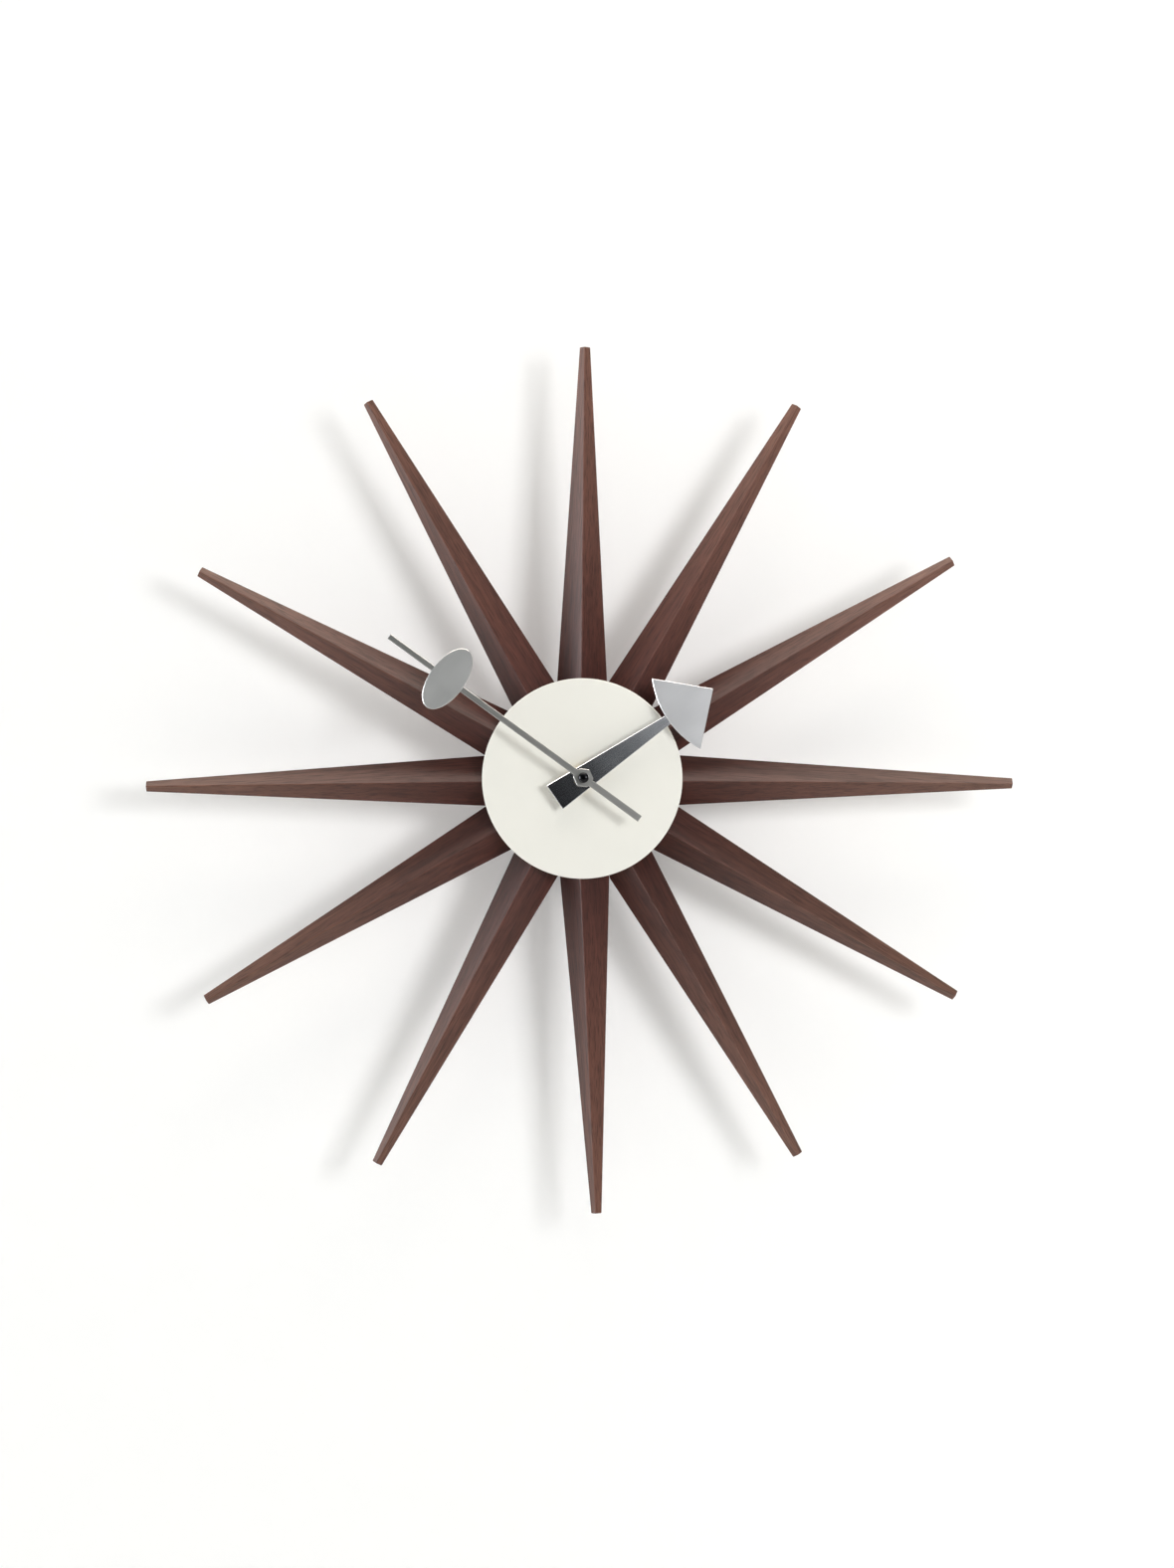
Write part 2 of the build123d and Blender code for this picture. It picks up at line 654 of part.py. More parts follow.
minute_wheel = arbor(MINUTE_WHEEL_AT, [
    (PLATE_REAR + 0.2, CHAMBER_FRONT + BLIND_HOLE - 0.2, disc(PIVOT_R), 0),
    (50.0, 50.4, disc(1.2), 0),
    (50.4, 51.4, gear(MINUTE_WHEEL), minute_wheel_turn),
    (51.4, 53.2, gear(MINUTE_PINION), 0),
])
save(minute_wheel, "minute_wheel")

with BuildPart() as hour_wheel:
    with BuildSketch(at_depth(52.0)):
        add(gear(HOUR_WHEEL), rotation=hour_wheel_turn)
    extrude(amount=1.2)
    with BuildSketch(at_depth(53.2)):
        Circle(HOUR_TUBE_R)
    extrude(amount=HOUR_TUBE_END - 53.2)
    with BuildSketch(at_depth(52.0)):
        Circle(MINUTE_ARBOR_R + RUNNING)
    extrude(amount=HOUR_TUBE_END - 52.0, mode=Mode.SUBTRACT)
save(hour_wheel, "hour_wheel")

KNOB_REAR = 34.5
KNOB = 3.6
KNOB_BORE_R = 1.5
setting_shaft = arbor(SETTING_AT, [
    (KNOB_REAR + 0.8, 50.2, disc(KNOB_BORE_R), 0),
    (50.2, 51.6, gear(SETTING_PINION), setting_pinion_turn),
    (51.6, CHAMBER_FRONT + BLIND_HOLE - 0.2, disc(PIVOT_R), 0),
])
save(setting_shaft, "setting_shaft")

with BuildPart() as setting_knob:
    with BuildSketch(at_depth(KNOB_REAR)):
        with Locations(SETTING_AT):
            Circle(4.8)
            with PolarLocations(4.8, 24):
                Circle(0.25, mode=Mode.SUBTRACT)
    extrude(amount=KNOB)
    with BuildSketch(at_depth(KNOB_REAR + 0.8)):
        with Locations(SETTING_AT):
            Circle(KNOB_BORE_R)
    extrude(amount=KNOB - 0.8, mode=Mode.SUBTRACT)
save(setting_knob, "setting_knob")

# --- stepping motor ----------------------------------------------------------------------------------

LEG_LOW = 15.4
LEG_HIGH = 17.8
leg_top = COIL_Z + COIL_CORE_WIDTH / 2
end_left, end_right = STATOR_ENDS
with BuildPart() as stator:
    with BuildSketch(at_depth(STATOR_REAR)):
        with Locations(ROTOR_AT):
            Circle(4.6)
        with Locations(((end_left[0] + end_right[0]) / 2, (LEG_LOW + LEG_HIGH) / 2)):
            Rectangle(end_right[0] - end_left[0] + 3.4, LEG_HIGH - LEG_LOW)
        for end in STATOR_ENDS:
            with Locations((end[0], (LEG_LOW + leg_top) / 2)):
                Rectangle(3.4, leg_top - LEG_LOW)
        with Locations(ROTOR_AT):
            Circle(STATOR_HOLE_R, mode=Mode.SUBTRACT)
        with Locations(STATOR_ENDS):
            Circle(SMALL_SCREW_R, mode=Mode.SUBTRACT)
    extrude(amount=STATOR)
save(stator, "stator")

core_mid_x = (end_left[0] + end_right[0]) / 2
core_length = end_right[0] - end_left[0] + 3.4
with BuildPart() as coil_core:
    with BuildSketch(at_depth(STATOR_REAR + STATOR)):
        with Locations((core_mid_x, COIL_Z)):
            Rectangle(core_length, COIL_CORE_WIDTH)
        with Locations(STATOR_ENDS):
            Circle(SMALL_SCREW_R, mode=Mode.SUBTRACT)
    extrude(amount=STATOR)
save(coil_core, "coil_core")

BOBBIN = (5.4, 6.4)
WINDING = (4.8, 5.8)
BOBBIN_CORE = (2.0, 3.6)
BOBBIN_FLANGE = 0.8
core_depth = STATOR_REAR + 1.5 * STATOR
coil_end = (COIL_X - COIL_LENGTH / 2, -core_depth, COIL_Z)
across_coil = Plane(origin=coil_end, x_dir=(0, -1, 0), z_dir=(1, 0, 0))
with BuildPart() as coil_bobbin:
    with BuildSketch(across_coil):
        Rectangle(*BOBBIN_CORE)
    extrude(amount=COIL_LENGTH)
    with BuildSketch(across_coil, across_coil.offset(COIL_LENGTH - BOBBIN_FLANGE)):
        Rectangle(*BOBBIN)
    extrude(amount=BOBBIN_FLANGE)
    with BuildSketch(across_coil):
        Rectangle(STATOR, COIL_CORE_WIDTH)
    extrude(amount=COIL_LENGTH, mode=Mode.SUBTRACT)
save(coil_bobbin, "coil_bobbin")

with BuildPart() as coil_winding:
    with BuildSketch(across_coil.offset(BOBBIN_FLANGE)):
        RectangleRounded(*WINDING, 1)
        Rectangle(*BOBBIN_CORE, mode=Mode.SUBTRACT)
    extrude(amount=COIL_LENGTH - 2 * BOBBIN_FLANGE)
save(coil_winding, "coil_winding")

# --- circuit board -----------------------------------------------------------------------------------

BOARD_RIGHT = -11.5
BOARD_TOP = 22.3
BOARD_STEP = (-18.5, 18)
board_left = 0.1 - CASE_IN
board_low = PARTITION_TOP + CONTACT
with BuildPart() as circuit_board:
    with BuildSketch(at_depth(BOARD_REAR)):
        with BuildLine():
            Polyline(
                (COVER_POSTS[0][0] + 2.5, board_low),
                (BOARD_RIGHT, board_low),
                (BOARD_RIGHT, BOARD_STEP[1]),
                BOARD_STEP,
                (BOARD_STEP[0], BOARD_TOP),
                (board_left, BOARD_TOP),
                (board_left, COVER_POSTS[0][1] + 2.5),
                (COVER_POSTS[0][0] + 2.5, COVER_POSTS[0][1] + 2.5),
                close=True,
            )
        make_face()
        with Locations(BOARD_POSTS):
            Circle(SMALL_SCREW_R, mode=Mode.SUBTRACT)
    extrude(amount=BOARD)
save(circuit_board, "circuit_board")

with BuildPart() as clock_chip:
    with BuildSketch(at_depth(BOARD_REAR)):
        with Locations((-17, -1)):
            Circle(2.4)
    extrude(amount=-0.7, taper=30)
save(clock_chip, "clock_chip")

CRYSTAL_R = 1.0
crystal_foot = (-16, -(BOARD_REAR + BOARD + CRYSTAL_R), 9)
with BuildPart() as quartz_crystal:
    with BuildSketch(Plane(origin=crystal_foot, x_dir=(1, 0, 0), z_dir=(0, 0, 1))):
        Circle(CRYSTAL_R)
    extrude(amount=6)
    chamfer(quartz_crystal.edges(), 0.15)
save(quartz_crystal, "quartz_crystal")

# --- battery and its contacts ------------------------------------------------------------------------

cell_z = (BAY_TOP - CASE_IN) / 2
cell_depth = CHAMBER_FRONT - CELL_R - 0.1
nub_end = CASE_IN - CONTACT
along_cell = Plane(origin=(nub_end - CELL_LENGTH, -cell_depth, cell_z), x_dir=(0, -1, 0), z_dir=(1, 0, 0))
with BuildPart() as battery:
    with BuildSketch(along_cell):
        Circle(CELL_R)
    extrude(amount=CELL_LENGTH - CELL_NUB)
    fillet(battery.edges(), 0.5)
    with BuildSketch(along_cell.offset(CELL_LENGTH - CELL_NUB)):
        Circle(CELL_NUB_R)
    extrude(amount=CELL_NUB)
save(battery, "battery")

with BuildPart() as positive_contact:
    with BuildSketch(at_depth(CASE_SEAM)):
        with Locations((CASE_IN - CONTACT / 2, (cell_z - 4 + board_low) / 2)):
            Rectangle(CONTACT, board_low - cell_z + 4)
        with Locations(((CASE_IN - 17) / 2, PARTITION_TOP + CONTACT / 2)):
            Rectangle(CASE_IN + 17, CONTACT)
    extrude(amount=3)
    with BuildSketch(at_depth(CASE_SEAM + 3)):
        with Locations((CASE_IN - CONTACT / 2, cell_z)):
            Rectangle(CONTACT, 8)
    extrude(amount=6)
save(positive_contact, "positive_contact")

leaf_reach = nub_end - CELL_LENGTH
with BuildPart() as negative_contact:
    with BuildSketch(at_depth(CASE_SEAM)):
        with Locations((-CASE_IN + CONTACT / 2, (cell_z - 5 + board_low) / 2)):
            Rectangle(CONTACT, board_low - cell_z + 5)
        with Locations(((-CASE_IN - 20) / 2, PARTITION_TOP + CONTACT / 2)):
            Rectangle(CASE_IN - 20, CONTACT)
    extrude(amount=3)
    with BuildSketch(at_depth(CASE_SEAM + 3)):
        with Locations((-CASE_IN + CONTACT / 2, cell_z)):
            Rectangle(CONTACT, 10)
    extrude(amount=6)
    # The leaf bows out of the contact to press on the cell's flat end.
    with BuildSketch(at_depth(CASE_SEAM + 4)):
        with BuildLine():
            ThreePointArc(
                (-CASE_IN + CONTACT, cell_z + 5),
                (leaf_reach, cell_z),
                (-CASE_IN + CONTACT + 0.5, cell_z - 5),
            )
            Line((-CASE_IN + CONTACT + 0.5, cell_z - 5), (-CASE_IN + CONTACT + 0.2, cell_z - 5))
            ThreePointArc(
                (-CASE_IN + CONTACT + 0.2, cell_z - 5),
                (leaf_reach - CONTACT, cell_z),
                (-CASE_IN + CONTACT, cell_z + 4.2),
            )
            Line((-CASE_IN + CONTACT, cell_z + 4.2), (-CASE_IN + CONTACT, cell_z + 5))
        make_face()
    extrude(amount=4)
save(negative_contact, "negative_contact")

# --- hour hand ---------------------------------------------------------------------------------------

with BuildPart() as hour_collet:
    with BuildSketch(at_depth(HOUR_HAND_DEPTH - COLLET)):
        Circle(COLLET_R)
        Circle(HOUR_TUBE_R, mode=Mode.SUBTRACT)
    extrude(amount=COLLET)
save(hour_collet, "hour_collet")

arm_slope = (HOUR_ARM_NECK_WIDTH - HOUR_ARM_TAIL_WIDTH) / (HOUR_ARM_NECK + HOUR_ARM_TAIL)
arm_end_half = (HOUR_ARM_NECK_WIDTH + arm_slope * (HOUR_ARM_END - HOUR_ARM_NECK)) / 2
with BuildPart() as hour_hand_arm:
    with BuildSketch(hand_plane(HOUR_HAND_DEPTH, HOUR_ANGLE)):
        with BuildLine():
            Polyline(
                (-HOUR_ARM_TAIL, -HOUR_ARM_TAIL_WIDTH / 2),
                (HOUR_ARM_END, -arm_end_half),
                (HOUR_ARM_END, arm_end_half),
                (-HOUR_ARM_TAIL, HOUR_ARM_TAIL_WIDTH / 2),
                close=True,
            )
        make_face()
        Circle(HOUR_TUBE_R, mode=Mode.SUBTRACT)
    extrude(amount=HAND)
    front = hour_hand_arm.faces().sort_by(Axis.Y)[0]
    chamfer(front.outer_wire().edges(), HAND_BEVEL)
save(hour_hand_arm, "hour_hand_arm")

with BuildPart() as hour_hand_plate:
    with BuildSketch(hand_plane(HOUR_HAND_DEPTH + HAND, HOUR_ANGLE)):
        with BuildLine():
            ThreePointArc(
                (HOUR_PLATE_CORNER, HOUR_PLATE_HALF),
                (HOUR_PLATE_BASE, 0),
                (HOUR_PLATE_CORNER, -HOUR_PLATE_HALF),
            )
            Polyline(
                (HOUR_PLATE_CORNER, -HOUR_PLATE_HALF),
                (HOUR_PLATE_APEX, 0),
                (HOUR_PLATE_CORNER, HOUR_PLATE_HALF),
            )
        make_face()
    extrude(amount=HAND)
    front = hour_hand_plate.faces().sort_by(Axis.Y)[0]
    chamfer(front.edges(), HAND_BEVEL)
save(hour_hand_plate, "hour_hand_plate")

# --- minute hand -------------------------------------------------------------------------------------

with BuildPart() as minute_hand_arm:
    with BuildSketch(hand_plane(MINUTE_HAND_DEPTH, MINUTE_ANGLE)) as blank:
        with BuildLine():
            Polyline(
                (-MINUTE_TAIL, -MINUTE_TAIL_WIDTH / 2),
                (MINUTE_TIP, -MINUTE_TIP_WIDTH / 2),
                (MINUTE_TIP, MINUTE_TIP_WIDTH / 2),
                (-MINUTE_TAIL, MINUTE_TAIL_WIDTH / 2),
                close=True,
            )
        make_face()
        with BuildSketch(mode=Mode.PRIVATE) as boss:
            RegularPolygon(MINUTE_BOSS_FLATS / 2, 6, major_radius=False, rotation=30)
            fillet(boss.vertices(), 1.2)
        add(boss.sketch)
        Circle(MINUTE_THREAD_R, mode=Mode.SUBTRACT)
    extrude(amount=HAND)
    front = minute_hand_arm.faces().sort_by(Axis.Y)[0]
    chamfer(front.outer_wire().edges(), HAND_BEVEL)
save(minute_hand_arm, "minute_hand_arm")

with BuildPart() as minute_hand_plate:
    with BuildSketch(hand_plane(MINUTE_HAND_DEPTH + HAND, MINUTE_ANGLE)):
        with Locations((OVAL_CENTRE, 0)):
            Ellipse(OVAL_HALF_LENGTH, OVAL_HALF_WIDTH)
    extrude(amount=HAND)
    front = minute_hand_plate.faces().sort_by(Axis.Y)[0]
    chamfer(front.edges(), HAND_BEVEL)
save(minute_hand_plate, "minute_hand_plate")

nut_rear = MINUTE_HAND_DEPTH + HAND
with BuildPart() as minute_cap_nut:
    with BuildSketch(at_depth(nut_rear)):
        Circle(CAP_NUT_R)
    extrude(amount=CAP_NUT_END - nut_rear)
    front = minute_cap_nut.faces().sort_by(Axis.Y)[0]
    fillet(front.edges(), 2)
    with BuildSketch(at_depth(nut_rear)):
        Circle(MINUTE_THREAD_R)
    extrude(amount=MINUTE_ARBOR_END - nut_rear, mode=Mode.SUBTRACT)
save(minute_cap_nut, "minute_cap_nut")
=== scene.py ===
# %% [markdown]
# # A sunburst wall clock
# The clock is a round steel drum with twelve square walnut rays standing out of it, a painted dial
# in front, and two metal hands over the dial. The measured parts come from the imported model, and
# this script gives them their finishes, adds the small pieces that are easier to shape here, and
# sets up the wall, the lights and the camera.

# %% Load the measured parts
import math

import bpy
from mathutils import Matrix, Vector


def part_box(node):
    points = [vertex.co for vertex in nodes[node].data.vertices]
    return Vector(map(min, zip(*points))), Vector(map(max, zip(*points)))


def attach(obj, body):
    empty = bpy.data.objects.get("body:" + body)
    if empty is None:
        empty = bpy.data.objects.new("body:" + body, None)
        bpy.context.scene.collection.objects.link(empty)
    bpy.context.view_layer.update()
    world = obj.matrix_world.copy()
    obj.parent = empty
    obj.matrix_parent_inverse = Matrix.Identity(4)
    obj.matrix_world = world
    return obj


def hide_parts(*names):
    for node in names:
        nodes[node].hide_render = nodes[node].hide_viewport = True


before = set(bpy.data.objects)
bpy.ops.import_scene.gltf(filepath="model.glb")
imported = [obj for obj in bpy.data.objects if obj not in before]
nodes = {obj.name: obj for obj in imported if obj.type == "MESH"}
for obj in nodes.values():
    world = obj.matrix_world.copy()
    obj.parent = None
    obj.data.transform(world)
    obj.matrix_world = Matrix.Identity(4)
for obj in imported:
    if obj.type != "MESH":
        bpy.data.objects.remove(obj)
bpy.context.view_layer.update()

# %% [markdown]
# ## The camera
# The clock hangs upright and is seen almost square on, from a little to the left of its centre and
# a little below it. A long lens from about 1.8 m keeps the rays straight. The camera is aimed by
# its direction, so that no shift is needed.

# %% Camera
LENS_DISTANCE = 1.811
camera_place = Vector((-0.063, -LENS_DISTANCE, -0.041))
camera_target = Vector((0.0047, 0.0, -0.0017))
camera_data = bpy.data.cameras.new("camera")
camera_data.sensor_fit = "HORIZONTAL"
camera_data.sensor_width = 36
camera_data.lens = 100.07
camera = bpy.data.objects.new("camera", camera_data)
bpy.context.scene.collection.objects.link(camera)
camera.location = camera_place
camera.rotation_euler = (camera_target - camera_place).to_track_quat("-Z", "Y").to_euler()
bpy.context.scene.camera = camera
bpy.context.scene.view_settings.view_transform = "Standard"
print("camera at", [round(v, 3) for v in camera_place])

# %% [markdown]
# ## The wall and the floor
# The clock hangs on a plain white wall above a plain pale floor. Both are modelled as single
# sheets that face the room. From behind, a sheet lets the eye through, so that the back of the
# clock can be looked at as if it had been taken off the wall. Lamps behind the wall reach the
# clock through a round window in its paint. Everywhere else their light stops at the wall, so
# that it doesn't spill over the floor.

# %% One-sided paper
WINDOW = 0.25  # light from behind comes through only this near the clock's centre


def one_sided(name, colour, glow=0.0):
    """A plain matt surface that is only there for what stands in front of it."""
    material = bpy.data.materials.new(name)
    material.use_nodes = True
    tree = material.node_tree
    tree.nodes.clear()
    out = tree.nodes.new("ShaderNodeOutputMaterial")
    mix = tree.nodes.new("ShaderNodeMixShader")
    matt = tree.nodes.new("ShaderNodeBsdfDiffuse")
    clear = tree.nodes.new("ShaderNodeBsdfTransparent")
    side = tree.nodes.new("ShaderNodeNewGeometry")
    path = tree.nodes.new("ShaderNodeLightPath")
    reach = tree.nodes.new("ShaderNodeVectorMath")
    reach.operation = "LENGTH"
    tree.links.new(side.outputs["Position"], reach.inputs[0])
    behind_clock = tree.nodes.new("ShaderNodeMath")
    behind_clock.operation = "LESS_THAN"
    behind_clock.inputs[1].default_value = WINDOW
    tree.links.new(reach.outputs["Value"], behind_clock.inputs[0])
    window = tree.nodes.new("ShaderNodeMath")
    window.operation = "MULTIPLY"
    tree.links.new(behind_clock.outputs[0], window.inputs[0])
    tree.links.new(path.outputs["Is Shadow Ray"], window.inputs[1])
    either = tree.nodes.new("ShaderNodeMath")
    either.operation = "MAXIMUM"
    tree.links.new(side.outputs["Backfacing"], either.inputs[0])
    tree.links.new(window.outputs[0], either.inputs[1])
    matt.inputs["Color"].default_value = (*colour, 1)
    lift = tree.nodes.new("ShaderNodeEmission")
    lift.inputs["Strength"].default_value = glow
    lit = tree.nodes.new("ShaderNodeAddShader")
    tree.links.new(matt.outputs[0], lit.inputs[0])
    tree.links.new(lift.outputs[0], lit.inputs[1])
    tree.links.new(either.outputs[0], mix.inputs[0])
    tree.links.new(lit.outputs[0], mix.inputs[1])
    tree.links.new(clear.outputs[0], mix.inputs[2])
    tree.links.new(mix.outputs[0], out.inputs["Surface"])
    return material


# %% Wall and floor
def sheet(name, size, place, turn, material):
    """A flat square sheet of the set, which is not part of the clock."""
    bpy.ops.object.select_all(action="DESELECT")
    bpy.ops.mesh.primitive_plane_add(size=size, location=place, rotation=turn)
    piece = bpy.context.object
    piece.name = name
    piece.data.materials.append(material)
    return piece


FLOOR_Z = -0.62
wall_paint = one_sided("wall paint", (0.93, 0.93, 0.93), glow=0.1)
floor_paint = one_sided("floor paint", (0.8, 0.8, 0.79))
wall = sheet("wall", 6, (0, 0.0005, 3 + FLOOR_Z), (math.pi / 2, 0, 0), wall_paint)
sheet("floor", 6, (0, -3, FLOOR_Z), (0, 0, 0), floor_paint)
print("wall faces", [round(v, 2) for v in wall.matrix_world.to_3x3() @ Vector((0, 0, 1))])

# %% [markdown]
# ## The light
# The key is a soft box to the right and a little above, which throws each ray's shadow down to the
# left on the wall. A narrow bank overhead and a higher one in front light the rays' upper faces. A
# strip and a fill on the left, with a pale card that only shows as a reflection, put a grey sheen
# on the faces that look that way. A black card round the lens keeps the polished arm dark. Behind
# the wall two more boxes light the back of the clock, through a round window in its paint.

# %% Soft boxes
def soft_box(name, place, size, power, colour=(1, 1, 1), aim=(0, 0, 0), height=None):
    """A rectangular soft box that points at the clock and isn't seen by the camera."""
    data = bpy.data.lights.new(name, "AREA")
    data.shape = "RECTANGLE"
    data.size = size
    data.size_y = height or size
    data.energy = power
    data.color = colour
    lamp = bpy.data.objects.new(name, data)
    bpy.context.scene.collection.objects.link(lamp)
    lamp.location = place
    lamp.rotation_euler = (Vector(aim) - Vector(place)).to_track_quat("-Z", "Y").to_euler()
    lamp.visible_camera = False
    return lamp


KEY_FROM = Vector((0.57, -1, 0.13)).normalized()
WARM, COOL = (1, 0.93, 0.84), (0.94, 0.97, 1)
soft_box("key", KEY_FROM * 2.1, 0.54, 18)
soft_box("overhead", (0, -0.14, 1.35), 1.8, 14, WARM, height=0.24)
soft_box("high front", (0.25, -0.85, 1.35), 1.2, 4, WARM, height=0.4)
soft_box("left strip", (-1.6, -0.15, 0), 0.3, 9, COOL, height=1.4)
soft_box("left fill", (-1.6, -0.35, 0.1), 0.8, 5, COOL, height=1.6)
soft_box("front gleam", (0.62, -1.9, 0.42), 0.62, 1.2, height=0.5)
left_card = soft_box("left card", (-1.3, -0.4, 0), 1.3, 26, COOL, height=0.8, aim=(0, -0.4, 0))
left_card.visible_diffuse = False
for number, side in enumerate((-1, 1)):
    soft_box(f"back {number}", (side * 1.2, 1.5, 0.9), 1.0, 16)
world = bpy.data.worlds.new("studio")
bpy.context.scene.world = world
world.use_nodes = True
world.node_tree.nodes["Background"].inputs["Color"].default_value = (0.95, 1.0, 1.0, 1)
world.node_tree.nodes["Background"].inputs["Strength"].default_value = 0.22

# %% Black card round the lens
def black_card():
    """Matt black velvet that is only seen in the metal's reflections."""
    velvet = bpy.data.materials.new("black velvet")
    velvet.use_nodes = True
    shader = velvet.node_tree.nodes["Principled BSDF"]
    shader.inputs["Base Color"].default_value = (0.01, 0.01, 0.012, 1)
    shader.inputs["Roughness"].default_value = 1
    card = sheet("lens_card", 0.26, (0.055, -1.86, 0.03), (-math.pi / 2, 0, 0), velvet)
    card.visible_camera = False
    card.visible_diffuse = False
    card.visible_shadow = False
    return card


black_card()

# %% [markdown]
# ## Building finishes from nodes
# Every finish here is a Principled shader whose colour, roughness and bump are worked out from
# noise. A few small helpers keep the wiring short: one adds a node, one joins two sockets, and
# one starts a material. What several finishes share becomes a node group with named sockets.

# %% Node helpers
def add(tree, kind, **settings):
    """Adds a node; settings are its properties."""
    node = tree.nodes.new("ShaderNode" + kind)
    for name, value in settings.items():
        setattr(node, name, value)
    return node


def put(tree, node, socket, value):
    """Joins a socket to another, or sets it to a plain value."""
    target = node.inputs[socket]
    if isinstance(value, bpy.types.NodeSocket):
        tree.links.new(value, target)
    elif hasattr(target.default_value, "__len__") and len(target.default_value) == 4:
        target.default_value = (*value, 1) if len(value) == 3 else value
    else:
        target.default_value = value


def sums(tree, operation, *values, clamp=False):
    """A Math node, and its result."""
    node = add(tree, "Math", operation=operation, use_clamp=clamp)
    for place, value in enumerate(values):
        put(tree, node, place, value)
    return node.outputs[0]


def spread(tree, value, low, high, to_low=0.0, to_high=1.0):
    """Takes the range low to high onto another, held at both ends."""
    node = add(tree, "MapRange", clamp=True)
    for socket, number in (("Value", value), ("From Min", low), ("From Max", high),
                           ("To Min", to_low), ("To Max", to_high)):
        put(tree, node, socket, number)
    return node.outputs["Result"]


def blend_colours(tree, share, first, second, how="MIX"):
    """Mixes two colours by share."""
    node = add(tree, "Mix", data_type="RGBA", blend_type=how)
    put(tree, node, 0, share)
    put(tree, node, 6, first)
    put(tree, node, 7, second)
    return node.outputs[2]


def noise(tree, place, scale, detail=2.0, rough=0.5, twist=0.0):
    """Smooth noise with features of about one over scale, in metres."""
    node = add(tree, "TexNoise")
    for socket, value in (("Vector", place), ("Scale", scale), ("Detail", detail),
                          ("Roughness", rough), ("Distortion", twist)):
        put(tree, node, socket, value)
    return node.outputs["Fac"]


def stretched(tree, place, scale=(1, 1, 1), turn=(0, 0, 0), shift=(0, 0, 0)):
    """Turns, shifts and stretches a pattern's coordinates."""
    node = add(tree, "Mapping")
    put(tree, node, "Vector", place)
    put(tree, node, "Location", shift)
    put(tree, node, "Rotation", turn)
    put(tree, node, "Scale", scale)
    return node.outputs[0]


# %% Node group helper
def start_group(name, inputs, outputs):
    """A shader node group with named sockets: (name, kind, default) and (name, kind)."""
    group = bpy.data.node_groups.new(name, "ShaderNodeTree")
    for label, kind, default in inputs:
        socket = group.interface.new_socket(label, in_out="INPUT", socket_type="NodeSocket" + kind)
        if default is not None:
            socket.default_value = default
    for label, kind in outputs:
        group.interface.new_socket(label, in_out="OUTPUT", socket_type="NodeSocket" + kind)
    return group, group.nodes.new("NodeGroupInput").outputs, group.nodes.new("NodeGroupOutput")


def use_group(tree, group, **values):
    """Places a group in a material and sets its inputs, given with _ for a space."""
    node = add(tree, "Group", node_tree=group)
    for label, value in values.items():
        put(tree, node, label.replace("_", " "), value)
    return node.outputs


# %% Material helper
def start_finish(name):
    """A new material: its tree, its Principled shader and its Object coordinates."""
    material = bpy.data.materials.new(name)
    material.use_nodes = True
    tree = material.node_tree
    shader = tree.nodes["Principled BSDF"]
    place = add(tree, "TexCoord").outputs["Object"]
    return material, tree, shader, place


def bump(tree, shader, height, strength, distance):
    """Feeds a height to the shader's Normal."""
    node = add(tree, "Bump")
    put(tree, node, "Strength", strength)
    put(tree, node, "Distance", distance)
    put(tree, node, "Height", height)
    put(tree, shader, "Normal", node.outputs[0])


def dress(material, *names):
    """Puts a finish on measured parts."""
    for name in names:
        slots = nodes[name].data.materials
        if len(slots) == 0:
            slots.append(material)
        for index in range(len(slots)):
            slots[index] = material


# %% [markdown]
# ## Walnut
# The rays are solid walnut under a thin satin oil. The grain runs along each ray: broad slow bands
# of tone, narrower streaks, and short dark pores a fraction of a millimetre wide. A picture of wood
# could be wrapped round the bars, but noise stretched along the grain goes right through them, so
# that it meets at every edge as sawn wood does.

# %% Walnut figure
def walnut_group():
    """Grain along X: broad bands, streaks and pores, and their height."""
    group, given, result = start_group(
        "walnut figure",
        [("Vector", "Vector", None), ("Dark", "Color", (0.05, 0.02, 0.02, 1)),
         ("Light", "Color", (0.15, 0.07, 0.06, 1)), ("Pores", "Float", 0.5)],
        [("Color", "Color"), ("Height", "Float"), ("Roughness", "Float")])
    place = given["Vector"]
    bands = noise(group, stretched(group, place, (3, 55, 55)), 1, 3, 0.55, 0.6)
    streaks = noise(group, stretched(group, place, (14, 420, 420)), 1, 4, 0.6, 0.4)
    mottle = noise(group, stretched(group, place, (90, 260, 260)), 1, 2, 0.5)
    pores = noise(group, stretched(group, place, (55, 1900, 1900)), 1, 2, 0.6)
    tone = sums(group, "ADD", sums(group, "MULTIPLY", bands, 0.45),
                sums(group, "ADD", sums(group, "MULTIPLY", streaks, 0.4),
                     sums(group, "MULTIPLY", mottle, 0.15)))
    tone = spread(group, tone, 0.34, 0.66)
    pore = spread(group, pores, 0.36, 0.5, 1, 0)
    pore = sums(group, "MULTIPLY", pore, given["Pores"])
    wood = blend_colours(group, tone, given["Dark"], given["Light"])
    wood = blend_colours(group, pore, wood, (0.02, 0.009, 0.008))
    put(group, result, "Color", wood)
    put(group, result, "Height", sums(group, "SUBTRACT", sums(group, "MULTIPLY", streaks, 0.35), pore))
    put(group, result, "Roughness", spread(group, tone, 0, 1, 0.04, -0.04))
    return group


walnut_figure = walnut_group()
